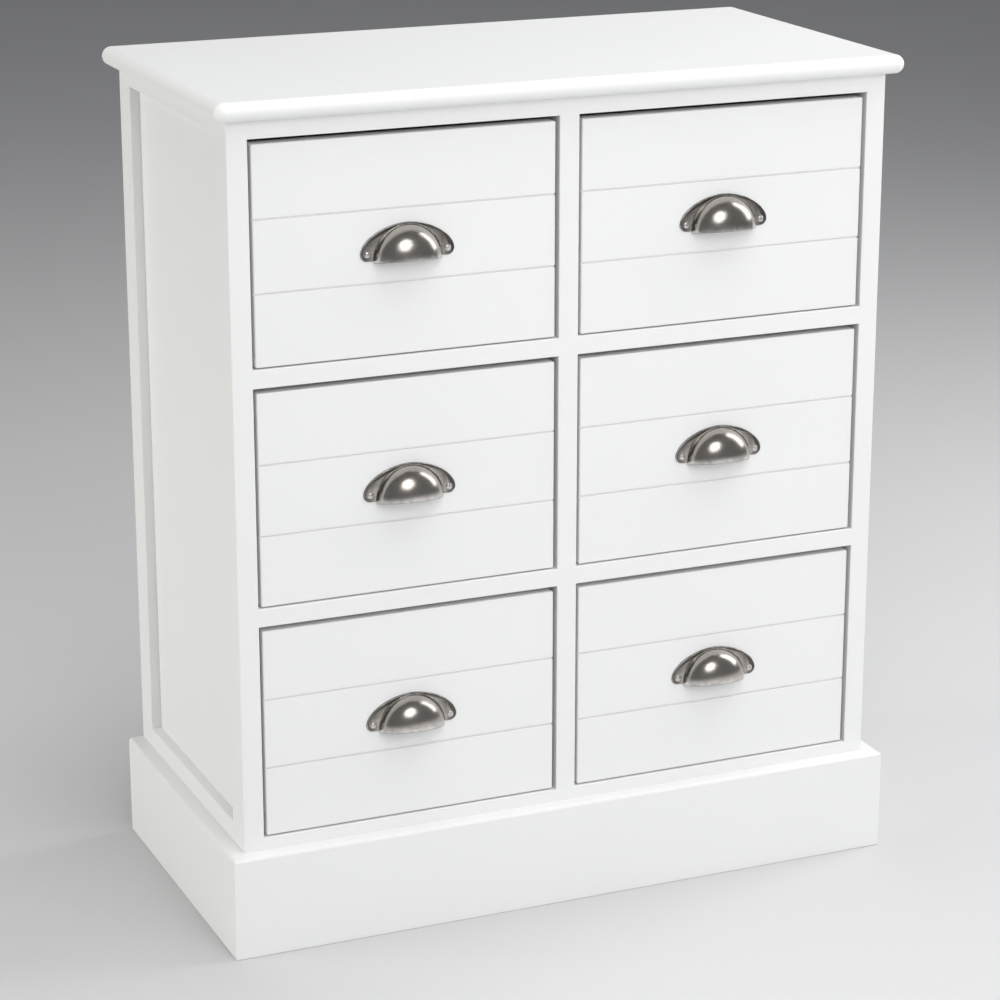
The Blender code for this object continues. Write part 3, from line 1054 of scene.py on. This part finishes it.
@dataclass
class SideFrame:
    """One side of the case: two stiles, two rails and a panel in their grooves.

    The shapes are the right side's, turned over for the left.
    """

    side: str
    arris: float = 0.0012
    ease: float = 0.0008
    hidden_ease: float = 0.0004
    groove_depth: float = 0.007

    def part(self, name: str) -> tuple[Vector, Vector]:
        """Box of a part of the right side."""
        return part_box(f"right_{name}")

    def groove(self, face: Face) -> Notch:
        """Groove that holds the panel, through the length of a frame piece."""
        low, high = self.part("panel")
        deep = self.groove_depth
        return Notch(face, ((low.x, 0.0), (low.x, deep), (high.x, deep), (high.x, 0.0)))

    def upright(self, name: str) -> Mesh:
        """Front or back stile, standing on the floor."""
        front = name == "front_stile"
        hid, ease = self.hidden_ease, self.ease
        radii = (ease, self.arris, ease, hid) if front else (hid, ease, self.arris, ease)
        notch = self.groove(Face.HIGH_V if front else Face.LOW_V)
        return board(
            name, Axis.Z, self.part(name), radii, eases=(hid, 0.0), notches=[notch],
            mirror=self.mirrored,
        )

    def rail(self, name: str) -> Mesh:
        """Top or bottom rail, run into the eased edges of the stiles."""
        span = (
            self.part("front_stile")[1].y - self.ease, self.part("back_stile")[0].y + self.ease
        )
        top = name == "top_rail"
        hid, ease = self.hidden_ease, self.ease
        radii = (hid, 0.0, 0.0, ease) if top else (hid, hid, ease, hid)
        notch = self.groove(Face.LOW_U if top else Face.HIGH_U)
        return board(
            name, Axis.Y, self.part(name), radii, span, notches=[notch], mirror=self.mirrored
        )

    def panel(self) -> Mesh:
        """Thin panel, its tongues in the grooves."""
        hid = self.hidden_ease
        return board(
            "panel", Axis.Z, self.part("panel"), [hid] * 4, eases=(hid, hid),
            mirror=self.mirrored,
        )

    @property
    def mirrored(self) -> bool:
        """True for the left side."""
        return self.side == "left"

    def build(self) -> None:
        """Make the five pieces."""
        meshes = {
            "front_stile": self.upright("front_stile"),
            "back_stile": self.upright("back_stile"),
            "top_rail": self.rail("top_rail"),
            "bottom_rail": self.rail("bottom_rail"),
            "panel": self.panel(),
        }
        for name, mesh in meshes.items():
            painted(f"{self.side}_{name}", mesh)


@dataclass
class Carcass:
    """Boards between the sides, whose front edges make one flush painted frame."""

    ease: float = 0.0008
    hidden_ease: float = 0.0004
    inner: float = field(init=False)
    front: float = field(init=False)

    def __post_init__(self) -> None:
        """Find the faces that the boards run between."""
        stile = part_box("right_front_stile")[0]
        self.inner = stile.x
        self.front = stile.y

    def level(self, node: str, span: Pair, low: bool, high: bool) -> None:
        """Make a level board whose lower or upper front edge is eased.

        Args:
            node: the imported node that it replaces.
            span: its two ends in X.
            low: eases its lower front edge.
            high: eases its upper front edge.
        """
        least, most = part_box(node)
        hid = self.hidden_ease
        radii = (self.ease if low else 0.0, hid, hid, self.ease if high else 0.0)
        section = Section.box((self.front, least.z), (most.y, most.z), radii)
        painted(node, drawn_out(node, section, Axis.X, span))

    def partition(self) -> None:
        """Make the upright board between the columns."""
        low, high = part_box("centre_partition")
        span = (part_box("floor_board")[1].z - self.ease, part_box("sub_top")[0].z + self.ease)
        radii = (self.ease, self.ease, self.hidden_ease, self.hidden_ease)
        section = Section.box((low.x, self.front), (high.x, high.y), radii)
        painted("centre_partition", drawn_out("centre_partition", section, Axis.Z, span))

    def build(self) -> None:
        """Make the boards."""
        out = self.inner + self.ease
        self.level("floor_board", (-out, out), low=False, high=True)
        self.level("sub_top", (-out, out), low=True, high=False)
        self.partition()
        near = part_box("centre_partition")[1].x - self.ease
        for row in ROWS[1:]:
            self.level(f"{row}_left_shelf", (-out, -near), low=True, high=True)
            self.level(f"{row}_right_shelf", (near, out), low=True, high=True)


@dataclass
class BackPanel:
    """Hardboard back, pinned round its edge."""

    ease: float = 0.0005
    pin_edge: float = 0.009
    pin_spacing: float = 0.078
    pin_radius: float = 0.0017
    pin_height: float = 0.0006
    pin_seed: int = 3

    def build(self) -> None:
        """Make the board and its pins."""
        low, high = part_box("back_panel")
        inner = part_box("right_back_stile")[0].x
        section = Section.box((-inner, low.y), (inner, high.y), [self.ease] * 4)
        ends = (self.ease, self.ease)
        mesh = drawn_out("back_panel", section, Axis.Z, (low.z, high.z), ends)
        placed("back_panel_finished", mesh, HARDBOARD, CASE, ["back_panel"])
        placed("back_pins", self.pins(low, high, inner), STEEL, CASE)

    def pins(self, low: Vector, high: Vector, inner: float) -> Mesh:
        """Pin heads into the stiles' inner boards, the sub-top and the floor board."""
        side = inner - self.pin_edge
        bottom, top = low.z + self.pin_edge, high.z - self.pin_edge
        outwards = Vector((0.0, 1.0, 0.0))
        corners = [(-side, bottom), (side, bottom), (side, top), (-side, top)]
        rows = [
            (Vector((x0, high.y, z0)), Vector((x1, high.y, z1)), outwards)
            for (x0, z0), (x1, z1) in zip(corners, corners[1:] + corners[:1])
        ]
        rows.append((Vector((0.0, high.y, bottom)), Vector((0.0, high.y, top)), outwards))
        return PINS.grow(
            "back_pins", rows, Spacing=self.pin_spacing, Head_radius=self.pin_radius,
            Head_height=self.pin_height, Seed=self.pin_seed, Finish=STEEL.material(),
        )


@dataclass
class Plinth:
    """Plinth boards mitred round the front corners, and a plain board behind."""

    nose: float = 0.003
    ease: float = 0.0007
    hidden_ease: float = 0.0003
    corner: float = 0.0012
    turn_steps: int = 5
    end_steps: int = 3

    def section(self) -> Section:
        """Section of a board as (depth from its outer face, height)."""
        low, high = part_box("plinth_front")
        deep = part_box("right_front_stile")[0].y - low.y
        radii = (self.ease, self.hidden_ease, self.hidden_ease, self.nose)
        return Section.box((0.0, low.z), (deep, high.z), radii)

    def station(self, flat: np.ndarray, angle: float, shift: Pair | None = None) -> np.ndarray:
        """The section set in its place on the way round the right front corner.

        Args:
            flat: the section's points.
            angle: where on the corner's turn, in radians from the front's outward way.
            shift: plan coordinate that a straight end holds instead, as (axis, value).

        Returns:
            The points in space.
        """
        low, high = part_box("plinth_front")
        points = []
        for depth, height in flat:
            if depth < self.corner:
                reach = self.corner - depth
                x = high.x - self.corner + reach * math.sin(angle)
                y = low.y + self.corner - reach * math.cos(angle)
            else:
                x, y = high.x - depth, low.y + depth
            points.append([x, y, height])
            if shift is not None:
                points[-1][int(shift[0])] = shift[1]
        return np.array(points)

    def front(self) -> Mesh:
        """Front board, from mitre to mitre."""
        flat, wear = self.section().ring()
        turns = [math.pi / 4 * (1 - k / self.turn_steps) for k in range(self.turn_steps + 1)]
        right = [self.station(flat, turn) for turn in turns]
        left = [ring * np.array([-1.0, 1.0, 1.0]) for ring in reversed(right)]
        rings = right + left
        return shaded(loft("plinth_front", rings, [wear] * len(rings)))

    def flank(self, mirror: bool) -> Mesh:
        """Side board, from its mitre to the wall."""
        section = self.section()
        flat, wear = section.ring()
        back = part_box("plinth_right")[1].y
        turns = [math.pi / 4 * (1 + k / self.turn_steps) for k in range(self.turn_steps + 1)]
        rings = [self.station(flat, turn) for turn in turns]
        wears = [wear] * len(rings)
        for k in range(self.end_steps + 1):
            turn = math.pi / 2 * (1 - k / self.end_steps)
            drawn, edge = section.ring(self.hidden_ease * (1 - math.sin(turn)))
            place = back - self.hidden_ease * (1 - math.cos(turn))
            rings.append(self.station(drawn, math.pi / 2, (1, place)))
            wears.append(edge)
        return shaded(loft("plinth_side", rings, wears, mirror))

    def rear(self) -> Mesh:
        """Board between the back stiles."""
        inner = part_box("right_back_stile")[0].x
        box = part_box("plinth_back")
        return board("plinth_back", Axis.X, box, [self.ease] * 4, (-inner, inner))

    def build(self) -> None:
        """Make the four boards."""
        meshes = {
            "plinth_front": self.front(),
            "plinth_left": self.flank(mirror=True),
            "plinth_right": self.flank(mirror=False),
            "plinth_back": self.rear(),
        }
        for node, mesh in meshes.items():
            painted(node, mesh)


# ---------------------------------------------------------------- drawers


@dataclass
class CupPull:
    """Pressed cup pull about the middle of its lower edge, its back on the plane Y = 0."""

    half_width: float
    height: float
    reach: float
    end_radius: float = 0.006
    end_lift: float = 0.002
    fullness: float = 1.8
    flange: float = 0.0015
    flange_ease: float = 0.0007
    dome_half: float = 0.03
    dome_height: float = 0.0305
    wall: float = 0.0012
    lip_rise: float = 0.0035
    bead: float = 0.0005
    bead_sides: int = 12
    hole: float = 0.0018
    hole_reach: float = 0.01
    hole_sides: int = 24
    lip_turn: float = math.radians(80)
    lip_steps: int = 5
    crown: float = math.radians(88.5)
    sharp: float = 42.0
    arch_steps: int = 28
    end_steps: int = 9
    dome_rings: int = 36
    dome_sides: int = 64

    @property
    def screw_place(self) -> Pair:
        """X and Z of the right screw."""
        return self.half_width - self.end_radius, self.end_lift + self.end_radius

    def lean(self, points: np.ndarray) -> np.ndarray:
        """Points raised towards the front, as the lip rises."""
        raised = points.copy()
        raised[:, 2] -= points[:, 1] * self.lip_rise / self.reach
        return raised

    def plate(self) -> Mesh:
        """Flange: an arch over two round ends, its front edge eased."""
        end_x, level = self.screw_place
        power = 2 / self.fullness
        arch = []
        for k in range(self.arch_steps + 1):
            angle = math.pi / 2 * k / self.arch_steps
            x = self.half_width * math.cos(angle) ** power
            arch.append((x, level + (self.height - level) * math.sin(angle) ** power))
        for k in range(1, self.end_steps + 1):
            turn = math.pi / 2 * k / self.end_steps
            x = end_x + self.end_radius * math.cos(turn)
            arch.insert(0, (x, level - self.end_radius * math.sin(turn)))
        outline = arch + [(-x, z) for x, z in reversed(arch[:-1])]
        corners = tuple(Corner(z, x) for x, z in reversed(outline))
        mesh = drawn_out(
            "flange", Section(corners), Axis.Y, (-self.flange, 0.0), (self.flange_ease, 0.0)
        )
        # marks the whole flange, which the nickel makes rougher and grained and paints near black,
        # a painted dark reflection
        dull = mesh.attributes.new("dull", "FLOAT", "POINT")
        dull.data.foreach_set("value", np.ones(len(mesh.vertices), np.float32))
        return mesh

    def mouth(self) -> Mesh:
        """Block that opens the flange behind the dome."""
        half = self.dome_half - self.wall
        top = self.dome_height - self.wall
        turns = [math.pi * k / self.dome_sides for k in range(self.dome_sides + 1)]
        outline = [(half * math.cos(t), top * math.sin(t)) for t in turns]
        outline += [(-half, -top), (half, -top)]
        corners = tuple(Corner(z, x) for x, z in reversed(outline))
        deep = 2 * self.flange
        return drawn_out("mouth", Section(corners), Axis.Y, (-deep, deep))

    def dome(self) -> Mesh:
        """Quarter dome of sheet, round along its lip."""
        sides = self.dome_sides
        turns = np.array([math.pi * k / sides for k in range(sides + 1)])
        half_wall = self.wall / 2
        rings = []
        levels: list[Triple] = []
        for k in range(self.lip_steps + 1):
            turn = self.lip_turn * (1 - k / self.lip_steps)
            levels.append((0.0, half_wall * (1 - math.cos(turn)), -half_wall * math.sin(turn)))
        for k in range(1, self.dome_rings + 1):
            levels.append((self.crown * k / self.dome_rings, 0.0, 0.0))
        outer = np.array([self.dome_half, self.reach, self.dome_height - half_wall])
        inner = outer - self.wall
        for rise, thinned, drop in levels:
            shells = []
            for axes, pinch in ((outer, -thinned), (inner, thinned)):
                wide, deep, tall = axes + np.array([pinch, pinch, 0.0])
                shells.append(
                    np.stack(
                        [
                            wide * math.cos(rise) * np.cos(turns),
                            -deep * math.cos(rise) * np.sin(turns),
                            np.full(sides + 1, half_wall + tall * math.sin(rise) + drop),
                        ],
                        axis=1,
                    )
                )
            rings.append(self.lean(np.concatenate([shells[0], shells[1][::-1]])))
        # the lip is marked worn, fading up the dome; the nickel paints it brighter, a painted
        # highlight
        fade = self.lip_steps + 1
        wears = [np.full(len(rings[0]), max(0.0, 1 - k / fade)) for k in range(len(rings))]
        return loft("dome", rings, wears)

    def rim(self) -> Mesh:
        """Bead round the foot of the dome."""
        start = math.asin((self.end_lift + self.bead) / self.dome_height)
        count = 2 * self.arch_steps
        turns = np.linspace(start, math.pi - start, count)
        path = np.stack(
            [
                (self.dome_half + self.bead / 2) * np.cos(turns),
                np.full(count, -self.flange - self.bead / 4),
                (self.dome_height + self.bead / 2) * np.sin(turns),
            ],
            axis=1,
        )
        return tube("bead", self.lean(path), self.bead, self.bead_sides)

    def bore(self, side: int) -> Mesh:
        """Screw hole of one end."""
        profile = [(self.hole, -self.hole_reach), (self.hole, self.hole_reach)]
        mesh = spun("bore", profile, self.hole_sides)
        mesh.transform(Matrix.Rotation(math.pi / 2, 4, "X"))
        x, z = self.screw_place
        mesh.transform(Matrix.Translation((side * x, 0.0, z)))
        return mesh

    def mesh(self) -> Mesh:
        """The whole pull."""
        steps = [
            ("DIFFERENCE", self.mouth()),
            ("UNION", self.dome()),
            ("UNION", self.rim()),
            ("DIFFERENCE", self.bore(-1)),
            ("DIFFERENCE", self.bore(1)),
        ]
        return shaded(combined(self.plate(), steps), self.sharp)


@dataclass
class Drawer:
    """One drawer: planked front, box, bottom, cup pull, its two screws and the box's pins.

    The recess sizes are shares of the screw head's radius and height.
    """

    row: str
    column: str
    seed: int
    planks: int = 3
    groove_width: float = 0.0018
    groove_floor: float = 0.001
    groove_depth: float = 0.0017
    groove_ease: float = 0.0003
    front_ease: float = 0.0013
    box_ease: float = 0.0012
    thin_ease: float = 0.0005
    head_radius: float = 0.0028
    head_height: float = 0.0013
    recess_length: float = 1.15
    recess_width: float = 0.24
    recess_depth: float = 0.8
    pin_radius: float = 0.0011
    pin_edge: float = 0.005
    pin_low: float = 0.03
    pin_high: float = 0.02
    pin_spacing: float = 0.047

    @property
    def name(self) -> str:
        """Row and column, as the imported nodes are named."""
        return f"{self.row}_{self.column}"

    @property
    def body(self) -> str:
        """The body that the drawer moves with."""
        return f"{self.name}_drawer"

    def part(self, name: str) -> tuple[Vector, Vector]:
        """Box of one of the drawer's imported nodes."""
        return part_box(f"{self.name}_{name}")

    def place(self, part: str, mesh: Mesh, finish: Finish, slot: Slot) -> None:
        """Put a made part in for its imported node."""
        node = f"{self.name}_{part}"
        placed(f"{node}_finished", mesh, finish, self.body, [node])

    def front(self) -> Mesh:
        """Front board, parted into planks by narrow grooves, all its front edges eased."""
        low, high = self.part("front")
        plank = (high.z - low.z) / self.planks
        half, foot, deep = self.groove_width / 2, self.groove_floor / 2, self.groove_depth
        notches = []
        for joint in range(1, self.planks):
            z = low.z + joint * plank
            points = ((z - half, 0.0), (z - foot, deep), (z + foot, deep), (z + half, 0.0))
            notches.append(Notch(Face.LOW_U, points, self.groove_ease))
        radii = (self.front_ease, self.thin_ease, self.thin_ease, self.front_ease)
        ends = (self.front_ease, self.front_ease)
        return board("front", Axis.X, (low, high), radii, eases=ends, notches=notches)

    def box_side(self, part: str) -> Mesh:
        """Side of the box, run up against the front."""
        box = self.part(part)
        span = (self.part("front")[1].y, box[1].y)
        radii = (self.thin_ease, self.box_ease, self.box_ease, self.thin_ease)
        return board(part, Axis.Y, box, radii, span, (0.0, self.thin_ease))

    def box_back(self) -> Mesh:
        """Back of the box, between its sides and on the bottom."""
        span = (self.part("left_side")[1].x, self.part("right_side")[0].x)
        radii = (self.thin_ease, self.thin_ease, self.box_ease, self.box_ease)
        return board("back", Axis.X, self.part("back"), radii, span)

    def bottom(self) -> Mesh:
        """Thin bottom, its edges in the grooves."""
        ends = (self.thin_ease, self.thin_ease)
        return board("bottom", Axis.X, self.part("bottom"), [self.thin_ease] * 4, eases=ends)

    def pull_foot(self) -> Vector:
        """Middle of the pull's lower edge, on the face of the front."""
        low, high = self.part("pull")
        return Vector(((low.x + high.x) / 2, self.part("front")[0].y, low.z))

    def screws(self, pull: CupPull) -> Mesh:
        """The two screws of the pull."""
        foot = self.pull_foot()
        x, z = pull.screw_place
        ends = [foot + Vector((side * x, -pull.flange, z)) for side in (-1, 1)]
        return SCREWS.grow(
            f"{self.name}_screws", [(*ends, Vector((0.0, -1.0, 0.0)))],
            Head_radius=self.head_radius, Head_height=self.head_height, Seed=self.seed,
            Recess_length=self.head_radius * self.recess_length,
            Recess_width=self.head_radius * self.recess_width,
            Recess_depth=self.head_height * self.recess_depth, Finish=STEEL.material(),
        )

    def pins(self) -> Mesh:
        """Pins through the box sides into the back and the front."""
        rows = []
        for side, sign in zip(COLUMNS, (-1, 1)):
            low, high = self.part(f"{side}_side")
            x = low.x if sign < 0 else high.x
            outwards = Vector((sign, 0.0, 0.0))
            for y in (high.y - self.pin_edge, low.y + self.pin_edge):
                first = Vector((x, y, low.z + self.pin_low))
                last = Vector((x, y, high.z - self.pin_high))
                rows.append((first, last, outwards))
        return PINS.grow(
            f"{self.name}_pins", rows, Spacing=self.pin_spacing,
            Head_radius=self.pin_radius, Head_height=self.pin_radius / 4, Seed=self.seed,
            Finish=STEEL.material(),
        )

    def build(self, pull: CupPull, pull_mesh: Mesh) -> None:
        """Make the drawer's pieces.

        Args:
            pull: the pull's sizes.
            pull_mesh: the pull about its own foot.
        """
        self.place("front", self.front(), LACQUER, Slot.LACQUER)
        for part in ("left_side", "right_side"):
            self.place(part, self.box_side(part), WOOD_Y, Slot.WOOD)
        self.place("back", self.box_back(), WOOD_X, Slot.WOOD)
        self.place("bottom", self.bottom(), PLY, Slot.PLY)
        self.place("pull", moved(pull_mesh, self.pull_foot()), NICKEL, Slot.NICKEL)
        placed(f"{self.name}_pull_screws", self.screws(pull), STEEL, self.body)
        placed(f"{self.name}_box_pins", self.pins(), STEEL, self.body)


@dataclass
class Chest:
    """The whole chest of six drawers."""

    def build(self) -> None:
        """Make the case, then the drawers."""
        TopBoard().build()
        for side in COLUMNS:
            SideFrame(side).build()
        Carcass().build()
        BackPanel().build()
        Plinth().build()
        low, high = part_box("lower_left_pull")
        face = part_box("lower_left_front")[0].y
        pull = CupPull((high.x - low.x) / 2, high.z - low.z, face - low.y)
        mesh = pull.mesh()
        for seed, (row, column) in enumerate((r, c) for r in ROWS for c in COLUMNS):
            Drawer(row, column, seed).build(pull, mesh)


# ---------------------------------------------------------------- studio


@dataclass(frozen=True)
class Lamp:
    """A soft light that looks at the chest.

    Azimuth runs from the chest's front (0) to its right (90), in degrees. A light that isn't
    mirrored is hidden from glossy rays, so that it lights the paint but leaves no spot in the
    metal.
    """

    name: str
    azimuth: float
    elevation: float
    distance: float
    size: Pair
    power: float
    shape: str = "RECTANGLE"
    tint: Triple = (1.0, 1.0, 1.0)
    mirrored: bool = True

    def hang(self, target: Vector) -> None:
        """Put the light up."""
        light = bpy.data.lights.new(self.name, "AREA")
        light.shape = self.shape
        light.size, light.size_y = self.size
        light.energy = self.power
        light.color = self.tint
        lamp = bpy.data.objects.new(self.name, light)
        lamp.visible_camera = False
        lamp.visible_glossy = self.mirrored
        place = around(target, self.azimuth, self.elevation, self.distance)
        lamp.location = place
        lamp.rotation_euler = (target - place).to_track_quat("-Z", "Y").to_euler()
        bpy.context.scene.collection.objects.link(lamp)


def around(target: Vector, azimuth: float, elevation: float, distance: float) -> Vector:
    """Place at a distance from a point, in a direction given in degrees."""
    turn, lift = math.radians(azimuth), math.radians(elevation)
    way = Vector(
        (math.sin(turn) * math.cos(lift), -math.cos(turn) * math.cos(lift), math.sin(lift))
    )
    return target + way * distance


@dataclass
class Studio:
    """Pale floor, soft lights and the camera.

    The camera looks down by the pitch and to the chest's right by the heading, in radians.
    """

    floor_radius: float = 40.0
    floor_sides: int = 96
    floor_thickness: float = 0.02
    floor_drop: float = 0.0001
    air: Colour = (0.62, 0.63, 0.65, 1.0)
    air_strength: float = 0.32
    aim: Vector = field(default_factory=lambda: Vector((0.0, 0.0, 0.37)))
    eye: Triple = (-1.0519, -2.4494, 1.1587)
    pitch: float = 0.3014
    heading: float = 0.4048
    lens: float = 110.9
    sensor: float = 36.0
    sight: float = 100.0
    lamps: tuple[Lamp, ...] = (
        Lamp("round_key", -9.0, 33.0, 2.6, (1.5, 1.5), 17.0, "DISK"),
        Lamp("front_box", 16.0, 14.0, 2.8, (1.8, 1.8), 23.0, mirrored=False),
        Lamp("high_box", 30.0, 78.0, 2.8, (3.0, 3.0), 58.0, mirrored=False),
        Lamp("right_box", 88.0, 32.0, 2.4, (1.5, 2.1), 33.0),
        Lamp("left_fill", -98.0, 4.0, 2.6, (1.4, 1.4), 34.0, tint=(1.0, 1.0, 0.94), mirrored=False),
    )

    def floor(self) -> None:
        """Lay the floor."""
        edge, top = self.floor_radius, -self.floor_drop
        profile = [(edge, top - self.floor_thickness), (edge, top)]
        mesh = spun("floor", profile, self.floor_sides)
        mesh.materials.append(PAPER.material())
        floor = bpy.data.objects.new("floor", mesh)
        bpy.context.scene.collection.objects.link(floor)

    def world(self) -> None:
        """Fill the room with plain pale light."""
        world = bpy.data.worlds.new("room")
        world.use_nodes = True
        background = world.node_tree.nodes["Background"]
        background.inputs["Color"].default_value = self.air
        background.inputs["Strength"].default_value = self.air_strength
        bpy.context.scene.world = world

    def camera(self) -> None:
        """Stand the camera to the left of the front, a little above the top."""
        lens = bpy.data.cameras.new("camera")
        lens.lens = self.lens
        lens.sensor_width = self.sensor
        lens.clip_end = self.sight
        camera = bpy.data.objects.new("camera", lens)
        camera.location = self.eye
        camera.rotation_euler = (math.pi / 2 - self.pitch, 0.0, -self.heading)
        bpy.context.scene.collection.objects.link(camera)
        bpy.context.scene.camera = camera

    def build(self) -> None:
        """Set the studio up."""
        self.floor()
        self.world()
        self.camera()
        for lamp in self.lamps:
            lamp.hang(self.aim)
        bpy.context.scene.view_settings.view_transform = "Standard"


def main() -> None:
    """Build the chest in its studio."""
    logging.basicConfig(level=logging.INFO, format="%(name)s: %(message)s")
    Studio().build()
    Chest().build()


if __name__ == "__main__":
    main()
